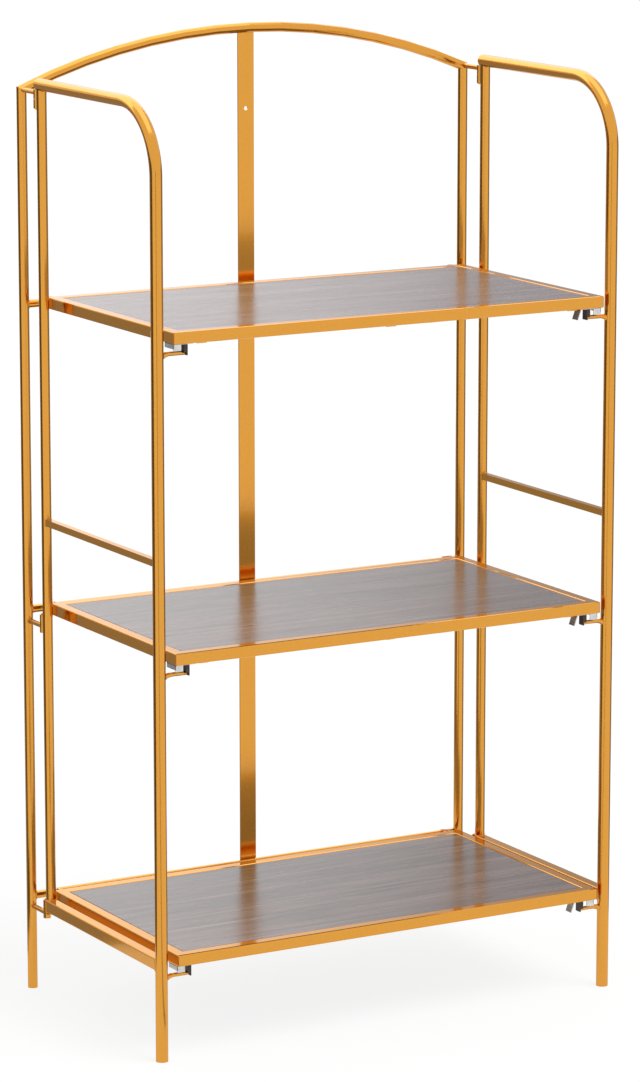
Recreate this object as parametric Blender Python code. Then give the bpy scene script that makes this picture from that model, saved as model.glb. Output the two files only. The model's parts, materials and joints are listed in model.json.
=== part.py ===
"""Folding bookshelf: a back frame, two hinged side frames and three shelves that fold up.

Metres, +Z up. X runs along the width, the open front faces -Y.
The origin is the middle of the base of the box round the whole shelf unit.
"""

import math

import bmesh
import bpy
from mathutils import Vector

MM = 0.001

# Overall size
POST_SPREAD = 530 * MM            # back post axis to back post axis
FRONT_POST_REACH = 295.3 * MM     # back post axis to front post axis
REAR_POST_REACH = 46.3 * MM       # back post axis to the side frame's rear post axis
TOP_RAIL_HEIGHT = 965 * MM        # centre of the side frame's top rail
SPRING_DROP = 9 * MM              # from there down to where the arch leaves the back posts
ARCH_RISE = 52.6 * MM             # from there to the arch tube's centre at its highest point

# Tubes
SLIM_DIA = 10.5 * MM              # back posts, arch and rear posts
STOUT_DIA = 12.7 * MM             # front post and top rail, one bent tube
WALL = 1.0 * MM
BEND_RADIUS = 70 * MM
CROSS_BAR_DIA = 8.5 * MM

# Side frame rails
MID_RAIL_HEIGHT = 512.8 * MM
MID_RAIL_SIZE = 7 * MM
BOTTOM_RAIL_BASE = 92.5 * MM
BOTTOM_RAIL_TALL = 8 * MM
BOTTOM_RAIL_WIDE = 12 * MM

# Shelves
SHELF_TOPS = {"upper": 744 * MM, "middle": 421.4 * MM, "lower": 110.8 * MM}
SHELF_SIDE_ROOM = 13.9 * MM       # post axis to the shelf's end
SHELF_OVERHANG = 9.4 * MM         # front post axis to the shelf's front face
SHELF_REAR_REACH = 24.5 * MM      # back post axis to the shelf's rear face
RAIL = 12.2 * MM                  # square tube of the shelf frame
RAIL_ROUND = 1.2 * MM
PANEL_SINK = 0.5 * MM
PANEL_THICK = 9 * MM
PANEL_ROUND = 0.6 * MM
TAB_INSET = 34.6 * MM             # shelf's end to the middle of its end tabs
TAB_WIDE = 10 * MM
TAB_LONG = 22 * MM
TAB_THICK = 1.6 * MM
TAB_LAP = 6 * MM                  # how far a tab lies under the shelf frame's rail

# Pivots of the shelves
PIVOT_REACH = 14.2 * MM           # back post axis to the pivot axis
PIVOT_DROP = 6.1 * MM             # shelf top to the pivot axis
BAR_DROP = 9.7 * MM               # shelf top to the cross bar's axis
LUG_THICK = 2.5 * MM
LUG_ROUND = 4.8 * MM
LUG_INSET = 8.6 * MM              # shelf's end to the middle of the pair of lugs
PIVOT_PIN_DIA = 4 * MM
PIVOT_HEAD_DIA = 6.6 * MM
PIVOT_HEAD_TALL = 1.4 * MM

# Centre strip
STRIP_WIDE = 19 * MM
STRIP_THICK = 1.5 * MM
STRIP_HOLE_DIA = 4.6 * MM
STRIP_HOLE_DROP = 85.6 * MM       # arch's highest centre to the hole

# Side hinges
KNUCKLE_DIA = 8 * MM
KNUCKLE_BORE = 3.4 * MM
HINGE_PIN_DIA = 3 * MM
HINGE_HEAD_DIA = 5.4 * MM
HINGE_HEAD_TALL = 1.1 * MM
ARM_DIA = 5.5 * MM
TOP_HINGE_DROP = 24.7 * MM        # top rail's centre to the lower end of the top hinge
TOP_HINGE_TALL = 19.1 * MM
TOP_ARM_RISE = 16.1 * MM          # lower end of the top hinge to its arm
HINGES = {
    "top": {
        "low": TOP_RAIL_HEIGHT - TOP_HINGE_DROP,
        "high": TOP_RAIL_HEIGHT - TOP_HINGE_DROP + TOP_HINGE_TALL,
        "arm": TOP_RAIL_HEIGHT - TOP_HINGE_DROP + TOP_ARM_RISE,
        "arm_upper": True,
    },
    "middle": {"low": 394 * MM, "high": 413 * MM, "arm": 400.4 * MM, "arm_upper": False},
    "bottom": {"low": 85.8 * MM, "high": 105.4 * MM, "arm": 90.8 * MM, "arm_upper": False},
}

# Catches at the shelves' front corners
CATCH_DROP = 22.3 * MM            # shelf top to the catch rod's axis
CATCH_ROD_DIA = 4.4 * MM
CATCH_ROD_INSET = 16.4 * MM       # shelf's end to the rod's tip
CATCH_TIP_ROUND = 0.6 * MM
HORN_DIA = 6.8 * MM               # the rod's flared root
HORN_DROP = 1.4 * MM              # how far the root's centre hangs below the rod's axis
HORN_LONG = 7.5 * MM
HORN_STEPS = 5
CLIP_SHEET = 1.0 * MM
CLIP_INSET = 1.2 * MM             # shelf's end to the clip's outer end
CLIP_LONG = 22.4 * MM
CLIP_BACK = 13 * MM              # rod's axis to the clip's rear edge
CHEEK_LONG = 9 * MM
CHEEK_OVER_ROD = 0.7 * MM
FLANGE_TALL = 5.2 * MM            # the clip's outer end, turned down over the rod
HOOK_WIDE = 4.2 * MM              # along the rod
HOOK_WALL = 1.1 * MM
HOOK_STOP = 1.2 * MM              # wall of the hook past the rod's tip
HOOK_LIP = 1.4 * MM               # how far the hook's front wall reaches below the rod's top
SLOT_FRONT_ROOM = 1.0 * MM
SLOT_REAR_ROOM = 0.6 * MM
TONGUE_WIDE = 10.5 * MM
TONGUE_DROP = 12.2 * MM
TONGUE_LEAN = 4.2 * MM
TONGUE_BEND = 1.6 * MM            # flat run past the hook before the tongue turns down

# Fits
SEAT = 0.3 * MM                   # between a piece and the one that it is welded or laid on
RUNNING = 0.2 * MM                # radial, pin in a shelf lug

# Roundness
TUBE_SIDES = 24
BAR_SIDES = 16
SMALL_SIDES = 12
BEND_STEPS = 9
ARCH_STEPS = 14
COPE_STEPS = 8
SMOOTH_ANGLE = math.radians(40)

# Derived places
HALF_SPREAD = POST_SPREAD / 2
SLIM_R = SLIM_DIA / 2
STOUT_R = STOUT_DIA / 2
BAR_R = CROSS_BAR_DIA / 2
SHELF_FRONT_REACH = FRONT_POST_REACH + SHELF_OVERHANG
STRIP_BACK_REACH = BAR_R + SEAT + STRIP_THICK
BACK_Y = (SHELF_FRONT_REACH - STRIP_BACK_REACH) / 2
FRONT_Y = BACK_Y - FRONT_POST_REACH
REAR_Y = BACK_Y - REAR_POST_REACH
HINGE_Y = REAR_Y + SLIM_R + SEAT + KNUCKLE_DIA / 2
PIVOT_Y = BACK_Y - PIVOT_REACH
SHELF_FRONT_Y = BACK_Y - SHELF_FRONT_REACH
SHELF_REAR_Y = BACK_Y - SHELF_REAR_REACH
HALF_SHELF = HALF_SPREAD - SHELF_SIDE_ROOM
SPRING_HEIGHT = TOP_RAIL_HEIGHT - SPRING_DROP
ARCH_APEX = SPRING_HEIGHT + ARCH_RISE
ARCH_RADIUS = (HALF_SPREAD ** 2 + ARCH_RISE ** 2) / (2 * ARCH_RISE)
ARCH_HALF_ANGLE = math.asin(HALF_SPREAD / ARCH_RADIUS)
ARCH_CENTRE_Z = ARCH_APEX - ARCH_RADIUS
RAIL_END_Y = REAR_Y + SLIM_R
LUG_GAP = SEAT
LUG_X = HALF_SHELF - LUG_INSET
TAB_X = HALF_SHELF - TAB_INSET
CATCH_ROD_LONG = SHELF_SIDE_ROOM + CATCH_ROD_INSET
CLIP_OUTER_X = HALF_SHELF - CLIP_INSET

SIDES = {"left": -1, "right": 1}

ZERO = Vector((0, 0, 0))
X_AXIS = Vector((1, 0, 0))
Y_AXIS = Vector((0, 1, 0))
Z_AXIS = Vector((0, 0, 1))

GOLD = {"colour": (0.74, 0.42, 0.12), "roughness": 0.32, "metallic": 1.0}
STEEL = {"colour": (0.62, 0.62, 0.60), "roughness": 0.3, "metallic": 1.0}
BLACK = {"colour": (0.03, 0.03, 0.03), "roughness": 0.6, "metallic": 0.0}
BOARD = {"colour": (0.12, 0.075, 0.055), "roughness": 0.35, "metallic": 0.0}


def clear_scene():
    for old in list(bpy.data.objects):
        bpy.data.objects.remove(old, do_unlink=True)


def make_material(name, finish):
    material = bpy.data.materials.new(name)
    material.use_nodes = True
    shader = material.node_tree.nodes["Principled BSDF"]
    shader.inputs["Base Color"].default_value = (*finish["colour"], 1)
    shader.inputs["Roughness"].default_value = finish["roughness"]
    shader.inputs["Metallic"].default_value = finish["metallic"]
    return material


def add_object(name, mesh, finish, origin=ZERO):
    """Links a mesh given in whole-unit coordinates as an object whose origin is at origin."""
    mesh.name = name
    for vertex in mesh.vertices:
        vertex.co -= origin
    mesh.materials.clear()
    mesh.materials.append(make_material(name, finish))
    mesh.shade_smooth()
    mesh.set_sharp_from_angle(angle=SMOOTH_ANGLE)
    obj = bpy.data.objects.new(name, mesh)
    obj.location = origin
    bpy.context.scene.collection.objects.link(obj)
    return obj


def to_mesh(bm):
    bmesh.ops.recalc_face_normals(bm, faces=bm.faces[:])
    mesh = bpy.data.meshes.new("piece")
    bm.to_mesh(mesh)
    bm.free()
    return mesh


def mirrored(mesh):
    """A copy on the other side of the plane x = 0."""
    bm = bmesh.new()
    bm.from_mesh(mesh)
    for vertex in bm.verts:
        vertex.co.x = -vertex.co.x
    bmesh.ops.reverse_faces(bm, faces=bm.faces[:])
    return to_mesh(bm)


def for_side(mesh, side):
    """The mesh as made for the right side, or its mirror image for the left one."""
    if side > 0:
        return mesh
    other = mirrored(mesh)
    bpy.data.meshes.remove(mesh)
    return other


def combined(mesh, tool, operation):
    """The exact union or difference of two closed meshes."""
    body = bpy.data.objects.new("body", mesh)
    cutter = bpy.data.objects.new("cutter", tool)
    for obj in (body, cutter):
        bpy.context.scene.collection.objects.link(obj)
    boolean = body.modifiers.new("shape", "BOOLEAN")
    boolean.operation = operation
    boolean.solver = "EXACT"
    boolean.object = cutter
    graph = bpy.context.evaluated_depsgraph_get()
    result = bpy.data.meshes.new_from_object(body.evaluated_get(graph))
    for obj in (body, cutter):
        bpy.data.objects.remove(obj, do_unlink=True)
    for used in (mesh, tool):
        bpy.data.meshes.remove(used)
    return result


def bevelled(mesh, width, segments):
    """Rounds every edge between faces that meet at more than the smooth angle."""
    bm = bmesh.new()
    bm.from_mesh(mesh)
    edges = [e for e in bm.edges if e.calc_face_angle(0) > SMOOTH_ANGLE]
    bmesh.ops.bevel(bm, geom=edges, offset=width, segments=segments, profile=0.5, affect="EDGES")
    bpy.data.meshes.remove(mesh)
    return to_mesh(bm)


def block(low, high):
    """A box between two corners."""
    bm = bmesh.new()
    bmesh.ops.create_cube(bm, size=1)
    low = Vector(low)
    high = Vector(high)
    for vertex in bm.verts:
        vertex.co = Vector(h if c > 0 else l for c, l, h in zip(vertex.co, low, high))
    return to_mesh(bm)


def extruded(outline, start, end):
    """A flat outline of points pushed from its own plane by start and then on to end."""
    bm = bmesh.new()
    start = Vector(start)
    end = Vector(end)
    face = bm.faces.new([bm.verts.new(Vector(p) + start) for p in outline])
    grown = bmesh.ops.extrude_face_region(bm, geom=[face])
    for item in grown["geom"]:
        if isinstance(item, bmesh.types.BMVert):
            item.co += end - start
    return to_mesh(bm)


def ring(bm, centre, tangent, across, radius, sides, cut):
    """One ring of a tube. cut gives the shift along the tube for a point's two offsets."""
    up = tangent.cross(across)
    made = []
    for i in range(sides):
        angle = math.tau * i / sides
        a = radius * math.cos(angle)
        b = radius * math.sin(angle)
        slide = cut(a, b) if cut else 0
        made.append(bm.verts.new(centre + across * a + up * b + tangent * slide))
    return made


def bridge(bm, first, second):
    count = len(first)
    for i in range(count):
        j = (i + 1) % count
        bm.faces.new((first[i], first[j], second[j], second[i]))


def cap(bm, loop, flat):
    """Closes a rod's end: one face if it is flat, else strips that follow the cope."""
    if flat:
        bm.faces.new(loop)
        return
    count = len(loop)
    half = count // 2
    for i in range(half):
        quad = [loop[i], loop[i + 1], loop[(count - i - 1) % count], loop[(count - i) % count]]
        corners = [v for n, v in enumerate(quad) if v not in quad[:n]]
        bm.faces.new(corners)


def swept(stations, across, radius, bore=0, sides=TUBE_SIDES, cuts=(None, None)):
    """A round tube or, with no bore, a rod through stations of (centre, tangent)."""
    bm = bmesh.new()
    last = len(stations) - 1
    skins = []
    for size in (radius, bore):
        if not size:
            continue
        rings = []
        for i, (centre, tangent) in enumerate(stations):
            cut = cuts[0] if i == 0 else cuts[1] if i == last else None
            rings.append(ring(bm, centre, tangent, across, size, sides, cut))
        for first, second in zip(rings, rings[1:]):
            bridge(bm, first, second)
        skins.append(rings)
    if bore:
        bridge(bm, skins[0][0], skins[1][0])
        bridge(bm, skins[0][-1], skins[1][-1])
    else:
        cap(bm, skins[0][0], cuts[0] is None)
        cap(bm, skins[0][-1], cuts[1] is None)
    return to_mesh(bm)


def turned(profile, centre, axis, across, sides):
    """A solid of revolution from (distance along the axis, radius) pairs."""
    bm = bmesh.new()
    rings = [ring(bm, centre + axis * d, axis, across, r, sides, None) for d, r in profile]
    for first, second in zip(rings, rings[1:]):
        bridge(bm, first, second)
    cap(bm, rings[0], True)
    cap(bm, rings[-1], True)
    return to_mesh(bm)


def cope(radius, reach, sign):
    """Cut that fits a rod's end round a tube of that radius lying across it.

    reach is how far the ring's centre is from the tube's axis, and sign points to the tube.
    """
    room = radius + SEAT

    def shift(a, b):
        inside = max(room ** 2 - a ** 2, 0)
        return sign * (reach - math.sqrt(inside))

    return shift


def mitre(tangent, across, normal):
    """Cut along the plane through the ring's centre that has the given normal."""
    up = tangent.cross(across)

    def shift(a, b):
        return -(across * a + up * b).dot(normal) / tangent.dot(normal)

    return shift


def arc_points(centre, radius, start, end, steps, first, second):
    """Points on an arc in the plane of the two given directions."""
    points = []
    for i in range(steps + 1):
        angle = start + (end - start) * i / steps
        points.append(centre + first * radius * math.cos(angle) + second * radius * math.sin(angle))
    return points


# Back frame

def arch_tangent(angle):
    return Vector((math.cos(angle), 0, -math.sin(angle)))


def mitre_normal():
    """Normal of the joint between the right post and the arch."""
    into_post = arch_tangent(ARCH_HALF_ANGLE)
    return (into_post - Z_AXIS).normalized()


def back_post(side):
    top = Vector((HALF_SPREAD, BACK_Y, SPRING_HEIGHT))
    foot = Vector((HALF_SPREAD, BACK_Y, 0))
    cut = mitre(Z_AXIS, Y_AXIS, mitre_normal())
    mesh = swept([(foot, Z_AXIS), (top, Z_AXIS)], Y_AXIS, SLIM_R, SLIM_R - WALL, cuts=(None, cut))
    return for_side(mesh, side)


def top_arch():
    stations = []
    for i in range(ARCH_STEPS + 1):
        angle = ARCH_HALF_ANGLE * (2 * i / ARCH_STEPS - 1)
        x = ARCH_RADIUS * math.sin(angle)
        z = ARCH_CENTRE_Z + ARCH_RADIUS * math.cos(angle)
        stations.append((Vector((x, BACK_Y, z)), arch_tangent(angle)))
    right = mitre_normal()
    left = Vector((-right.x, 0, right.z))
    cuts = (
        mitre(stations[0][1], Y_AXIS, left),
        mitre(stations[-1][1], Y_AXIS, right),
    )
    return swept(stations, Y_AXIS, SLIM_R, SLIM_R - WALL, cuts=cuts)


def centre_strip():
    front = BACK_Y + BAR_R + SEAT
    base = SHELF_TOPS["lower"] - BAR_DROP - BAR_R
    inner = ARCH_RADIUS - SLIM_R - SEAT
    half = STRIP_WIDE / 2
    lean = math.asin(half / inner)
    centre = Vector((0, front, ARCH_CENTRE_Z))
    top = arc_points(centre, inner, lean, -lean, COPE_STEPS, Z_AXIS, X_AXIS)
    outline = [Vector((-half, front, base)), Vector((half, front, base))] + top
    plate = extruded(outline, ZERO, Y_AXIS * STRIP_THICK)
    middle = Vector((0, front - STRIP_THICK, ARCH_APEX - STRIP_HOLE_DROP))
    far = middle + Y_AXIS * STRIP_THICK * 3
    drill = swept([(middle, Y_AXIS), (far, Y_AXIS)], X_AXIS, STRIP_HOLE_DIA / 2, sides=BAR_SIDES)
    return combined(plate, drill, "DIFFERENCE")


# Shelf pivots

def lug(inner_x, from_y, from_z, pivot_z):
    """A flat ear with a round end at the pivot and a foot of the same width at from_y."""
    eye = Vector((inner_x, PIVOT_Y, pivot_z))
    foot = Vector((inner_x, from_y, from_z))
    facing = (eye - foot).normalized()
    across = X_AXIS.cross(facing)
    end = arc_points(eye, LUG_ROUND, math.pi / 2, -math.pi / 2, COPE_STEPS, facing, across)
    low = foot - across * LUG_ROUND
    high = foot + across * LUG_ROUND
    return extruded([low, high] + end, ZERO, X_AXIS * LUG_THICK)


def pivot_hole(mesh, pivot_z, diameter):
    start = Vector((LUG_X - LUG_THICK * 3, PIVOT_Y, pivot_z))
    end = start + X_AXIS * LUG_THICK * 6
    drill = swept([(start, X_AXIS), (end, X_AXIS)], Y_AXIS, diameter / 2, sides=BAR_SIDES)
    return combined(mesh, drill, "DIFFERENCE")


def cross_bar(top):
    """A round bar between the back posts, with an ear for each of the shelf's pivots."""
    height = top - BAR_DROP
    pivot_z = top - PIVOT_DROP
    left = Vector((-HALF_SPREAD, BACK_Y, height))
    right = Vector((HALF_SPREAD, BACK_Y, height))
    cuts = (cope(SLIM_R, 0, -1), cope(SLIM_R, 0, 1))
    mesh = swept([(left, X_AXIS), (right, X_AXIS)], Y_AXIS, BAR_R, sides=BAR_SIDES, cuts=cuts)
    for side in (-1, 1):
        ear = lug(LUG_X + LUG_GAP / 2, BACK_Y, height, pivot_z)
        ear = pivot_hole(ear, pivot_z, PIVOT_PIN_DIA + RUNNING)
        mesh = combined(mesh, for_side(ear, side), "UNION")
    return mesh


def shelf_lug(top, side):
    pivot_z = top - PIVOT_DROP
    mesh = lug(LUG_X - LUG_GAP / 2 - LUG_THICK, SHELF_REAR_Y - RAIL / 2, pivot_z, pivot_z)
    mesh = pivot_hole(mesh, pivot_z, PIVOT_PIN_DIA + RUNNING * 2)
    return for_side(mesh, side)


def pivot_pin(top, side):
    """A headed pin through both ears, its upset end on the outer side."""
    inner = LUG_X - LUG_GAP / 2 - LUG_THICK - SEAT
    outer = LUG_X + LUG_GAP / 2 + LUG_THICK + SEAT
    head = PIVOT_HEAD_DIA / 2
    shank = PIVOT_PIN_DIA / 2
    span = outer - inner
    profile = [
        (-PIVOT_HEAD_TALL, shank),
        (-PIVOT_HEAD_TALL / 2, head),
        (0, head),
        (0, shank),
        (span, shank),
        (span, head),
        (span + PIVOT_HEAD_TALL / 2, head),
        (span + PIVOT_HEAD_TALL, shank),
    ]
    start = Vector((inner, PIVOT_Y, top - PIVOT_DROP))
    return for_side(turned(profile, start, X_AXIS, Y_AXIS, SMALL_SIDES), side)


# Side hinges

def knuckle_split(hinge):
    return (hinge["low"] + hinge["high"]) / 2


def arm_span(hinge):
    """Height range of the half of the hinge that belongs to the back frame."""
    split = knuckle_split(hinge)
    if hinge["arm_upper"]:
        return split + SEAT / 2, hinge["high"]
    return hinge["low"], split - SEAT / 2


def frame_span(hinge):
    """Height range of the half of the hinge that belongs to the side frame."""
    split = knuckle_split(hinge)
    if hinge["arm_upper"]:
        return hinge["low"], split - SEAT / 2
    return split + SEAT / 2, hinge["high"]


def knuckle(low, high, bore, sides=BAR_SIDES):
    start = Vector((HALF_SPREAD, HINGE_Y, low))
    end = Vector((HALF_SPREAD, HINGE_Y, high))
    return swept([(start, Z_AXIS), (end, Z_AXIS)], Y_AXIS, KNUCKLE_DIA / 2, bore / 2, sides)


def hinge_arm(hinge, side):
    """A rod from the back post that ends in a round collar with a headed pin on its axis."""
    low, high = arm_span(hinge)
    height = hinge["arm"]
    back = Vector((HALF_SPREAD, BACK_Y, height))
    front = Vector((HALF_SPREAD, HINGE_Y, height))
    fitted = cope(SLIM_R, 0, 1)
    if hinge["arm_upper"]:
        back.y -= SLIM_R + SEAT
        fitted = None
    rod = swept(
        [(front, Y_AXIS), (back, Y_AXIS)],
        X_AXIS,
        ARM_DIA / 2,
        sides=SMALL_SIDES,
        cuts=(None, fitted),
    )
    arm = combined(knuckle(low, high, 0), rod, "UNION")
    return for_side(combined(arm, hinge_pin(hinge), "UNION"), side)


def hinge_sleeve(hinge, side):
    low, high = frame_span(hinge)
    return for_side(knuckle(low, high, KNUCKLE_BORE), side)


def hinge_pin(hinge):
    """The arm's pin, from inside the collar through the sleeve to a low round head."""
    shank = HINGE_PIN_DIA / 2
    head = HINGE_HEAD_DIA / 2
    facing = -Z_AXIS if hinge["arm_upper"] else Z_AXIS
    far = hinge["low"] if hinge["arm_upper"] else hinge["high"]
    start = Vector((HALF_SPREAD, HINGE_Y, knuckle_split(hinge))) - facing * HINGE_HEAD_DIA
    span = abs(far - start.z) + SEAT
    profile = [
        (0, shank),
        (span, shank),
        (span, head),
        (span + HINGE_HEAD_TALL / 2, head),
        (span + HINGE_HEAD_TALL, shank),
    ]
    return turned(profile, start, facing, Y_AXIS, SMALL_SIDES)


# Side frames

def bent_tube(side):
    """Front post, bend and top rail, in one tube."""
    stations = [(Vector((HALF_SPREAD, FRONT_Y, 0)), Z_AXIS)]
    bend_z = TOP_RAIL_HEIGHT - BEND_RADIUS
    bend_y = FRONT_Y + BEND_RADIUS
    for i in range(BEND_STEPS + 1):
        angle = math.pi / 2 * i / BEND_STEPS
        y = bend_y - BEND_RADIUS * math.cos(angle)
        z = bend_z + BEND_RADIUS * math.sin(angle)
        tangent = Vector((0, math.sin(angle), math.cos(angle)))
        stations.append((Vector((HALF_SPREAD, y, z)), tangent))
    stations.append((Vector((HALF_SPREAD, RAIL_END_Y, TOP_RAIL_HEIGHT)), Y_AXIS))
    mesh = swept(stations, X_AXIS, STOUT_R, STOUT_R - WALL)
    return for_side(mesh, side)


def rear_post(side):
    foot = Vector((HALF_SPREAD, REAR_Y, BOTTOM_RAIL_BASE))
    top = Vector((HALF_SPREAD, REAR_Y, TOP_RAIL_HEIGHT))
    cuts = (None, cope(STOUT_R, 0, 1))
    mesh = swept([(foot, Z_AXIS), (top, Z_AXIS)], X_AXIS, SLIM_R, SLIM_R - WALL, cuts=cuts)
    return for_side(mesh, side)


def side_rail(wide, tall, base, side):
    """A flat-sided rail between the two posts of a side frame, its ends coped round them."""
    half = wide / 2
    outline = []
    for post_y, radius, facing in ((FRONT_Y, STOUT_R, 1), (REAR_Y, SLIM_R, -1)):
        room = radius + SEAT
        for i in range(COPE_STEPS + 1):
            x = -facing * half * (2 * i / COPE_STEPS - 1)
            depth = math.sqrt(max(room ** 2 - x ** 2, 0))
            outline.append(Vector((HALF_SPREAD + x, post_y + facing * depth, base)))
    mesh = extruded(outline, ZERO, Z_AXIS * tall)
    return for_side(mesh, side)


def catch_rod(top, side):
    """A short round rod from the front post inwards, its root flared and hanging a little."""
    height = top - CATCH_DROP
    inwards = -X_AXIS
    root = Vector((HALF_SPREAD, FRONT_Y, height))
    rod = CATCH_ROD_DIA / 2
    horn = HORN_DIA / 2
    fitted = cope(STOUT_R, 0, -1)
    bm = bmesh.new()
    rings = []
    for i in range(HORN_STEPS + 1):
        share = i / HORN_STEPS
        fade = (1 - share) ** 2
        radius = rod + (horn - rod) * fade
        centre = root + inwards * (STOUT_R + HORN_LONG * share) - Z_AXIS * HORN_DROP * fade
        if i == 0:
            centre = root - Z_AXIS * HORN_DROP
        cut = fitted if i == 0 else None
        rings.append(ring(bm, centre, inwards, Y_AXIS, radius, SMALL_SIDES, cut))
    for round_off in (0, CATCH_TIP_ROUND):
        centre = root + inwards * (CATCH_ROD_LONG - CATCH_TIP_ROUND + round_off)
        rings.append(ring(bm, centre, inwards, Y_AXIS, rod - round_off, SMALL_SIDES, None))
    for first, second in zip(rings, rings[1:]):
        bridge(bm, first, second)
    cap(bm, rings[0], False)
    cap(bm, rings[-1], True)
    return for_side(to_mesh(bm), side)


# Shelves

def shelf_frame(top):
    """Four square tubes welded at the corners into one ring, with its tabs and pivot ears."""
    outer = [
        (-HALF_SHELF, SHELF_FRONT_Y),
        (HALF_SHELF, SHELF_FRONT_Y),
        (HALF_SHELF, SHELF_REAR_Y),
        (-HALF_SHELF, SHELF_REAR_Y),
    ]
    inner = [
        (-HALF_SHELF + RAIL, SHELF_FRONT_Y + RAIL),
        (HALF_SHELF - RAIL, SHELF_FRONT_Y + RAIL),
        (HALF_SHELF - RAIL, SHELF_REAR_Y - RAIL),
        (-HALF_SHELF + RAIL, SHELF_REAR_Y - RAIL),
    ]
    bm = bmesh.new()
    loops = []
    for corners, height in ((outer, top), (inner, top), (inner, top - RAIL), (outer, top - RAIL)):
        loops.append([bm.verts.new((x, y, height)) for x, y in corners])
    for first, second in zip(loops, loops[1:] + loops[:1]):
        bridge(bm, first, second)
    mesh = bevelled(to_mesh(bm), RAIL_ROUND, 2)
    for tab in shelf_tabs(top):
        mesh = combined(mesh, tab, "UNION")
    for side in (-1, 1):
        mesh = combined(mesh, shelf_lug(top, side), "UNION")
    return mesh


def shelf_panel(top):
    gap = RAIL + SEAT
    low = Vector((-HALF_SHELF + gap, SHELF_FRONT_Y + gap, top - PANEL_SINK - PANEL_THICK))
    high = Vector((HALF_SHELF - gap, SHELF_REAR_Y - gap, top - PANEL_SINK))
    return bevelled(block(low, high), PANEL_ROUND, 1)


def shelf_tabs(top):
    """Flat tabs under the shelf frame that carry the panel on a step."""
    weld = top - RAIL + SEAT
    base = top - RAIL - TAB_THICK
    step = top - PANEL_SINK - PANEL_THICK - SEAT
    meshes = []
    for x in (-TAB_X, 0, TAB_X):
        for edge, facing in ((SHELF_FRONT_Y + RAIL, 1), (SHELF_REAR_Y - RAIL, -1)):
            lap = edge - facing * TAB_LAP
            rise = edge + facing * SEAT * 2
            end = lap + facing * TAB_LONG
            profile = [(lap, base), (end, base), (end, step), (rise, step), (rise, weld), (lap, weld)]
            outline = [Vector((x - TAB_WIDE / 2, y, z)) for y, z in profile]
            meshes.append(extruded(outline, ZERO, X_AXIS * TAB_WIDE))
    return meshes


def slot_faces():
    """Front and rear face of the hook's slot, which drops over a catch rod."""
    rod = CATCH_ROD_DIA / 2
    return FRONT_Y - rod - SLOT_FRONT_ROOM, FRONT_Y + rod + SLOT_REAR_ROOM


def catch_clip(top, side):
    """Bent sheet under a front corner: web, front cheek, outer flange and slanting tongue."""
    under = top - RAIL
    slot_front, slot_rear = slot_faces()
    front = slot_front - HOOK_WALL
    rear = FRONT_Y + CLIP_BACK
    outer = CLIP_OUTER_X
    clip = block((outer - CLIP_LONG, front, under - CLIP_SHEET), (outer, rear, under))
    root = under - CLIP_SHEET / 2
    cheek_base = top - CATCH_DROP + CATCH_ROD_DIA / 2 + CHEEK_OVER_ROD
    cheek = block((outer - CHEEK_LONG, front, cheek_base), (outer, front + CLIP_SHEET, root))
    flange = block((outer - CLIP_SHEET, front, under - FLANGE_TALL), (outer, rear, root))
    for leaf in (cheek, flange, clip_tongue(under, (slot_front + slot_rear) / 2)):
        clip = combined(clip, leaf, "UNION")
    return for_side(clip, side)


def clip_tongue(under, middle_y):
    """The release tongue: a short flat run and a slanting leaf."""
    inner = CLIP_OUTER_X - CLIP_LONG
    start = middle_y - TONGUE_WIDE / 2
    bend = Vector((inner - TONGUE_BEND, start, under))
    lean = Vector((-TONGUE_LEAN, 0, -TONGUE_DROP))
    across = Vector((TONGUE_DROP, 0, -TONGUE_LEAN)).normalized() * CLIP_SHEET
    profile = [
        Vector((inner + CLIP_SHEET, start, under)),
        bend,
        bend + lean,
        bend + lean + across,
        bend + Vector((across.x, 0, -CLIP_SHEET)),
        Vector((inner + CLIP_SHEET, start, under - CLIP_SHEET)),
    ]
    return extruded(profile, ZERO, Y_AXIS * TONGUE_WIDE)


def catch_hook(top, side):
    """The dark hook under the clip: it drops over the rod's end, with a short front wall."""
    slot_front, slot_rear = slot_faces()
    ceiling = top - RAIL - CLIP_SHEET
    rod = CATCH_ROD_DIA / 2
    rod_z = top - CATCH_DROP
    base = rod_z - rod
    tip = HALF_SPREAD - CATCH_ROD_LONG
    inner = tip - SEAT - HOOK_STOP
    front = slot_front - HOOK_WALL
    body = block((inner, front, base), (inner + HOOK_WIDE, slot_rear + HOOK_WALL, ceiling))
    slot_low = base - CATCH_DROP
    slot = block((tip - SEAT, slot_front, slot_low), (HALF_SPREAD, slot_rear, rod_z + rod + SEAT))
    mouth_top = rod_z + rod - HOOK_LIP
    mouth = block((tip - SEAT, front - CATCH_DROP, slot_low), (HALF_SPREAD, slot_rear, mouth_top))
    for cut in (slot, mouth):
        body = combined(body, cut, "DIFFERENCE")
    return for_side(body, side)


def build_back_frame():
    add_object("back_post_left", back_post(-1), GOLD)
    add_object("back_post_right", back_post(1), GOLD)
    add_object("top_arch", top_arch(), GOLD)
    add_object("centre_strip", centre_strip(), GOLD)
    for level, top in SHELF_TOPS.items():
        add_object("cross_bar_" + level, cross_bar(top), GOLD)
        for word, side in SIDES.items():
            add_object("pivot_pin_" + level + "_" + word, pivot_pin(top, side), STEEL)


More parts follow.
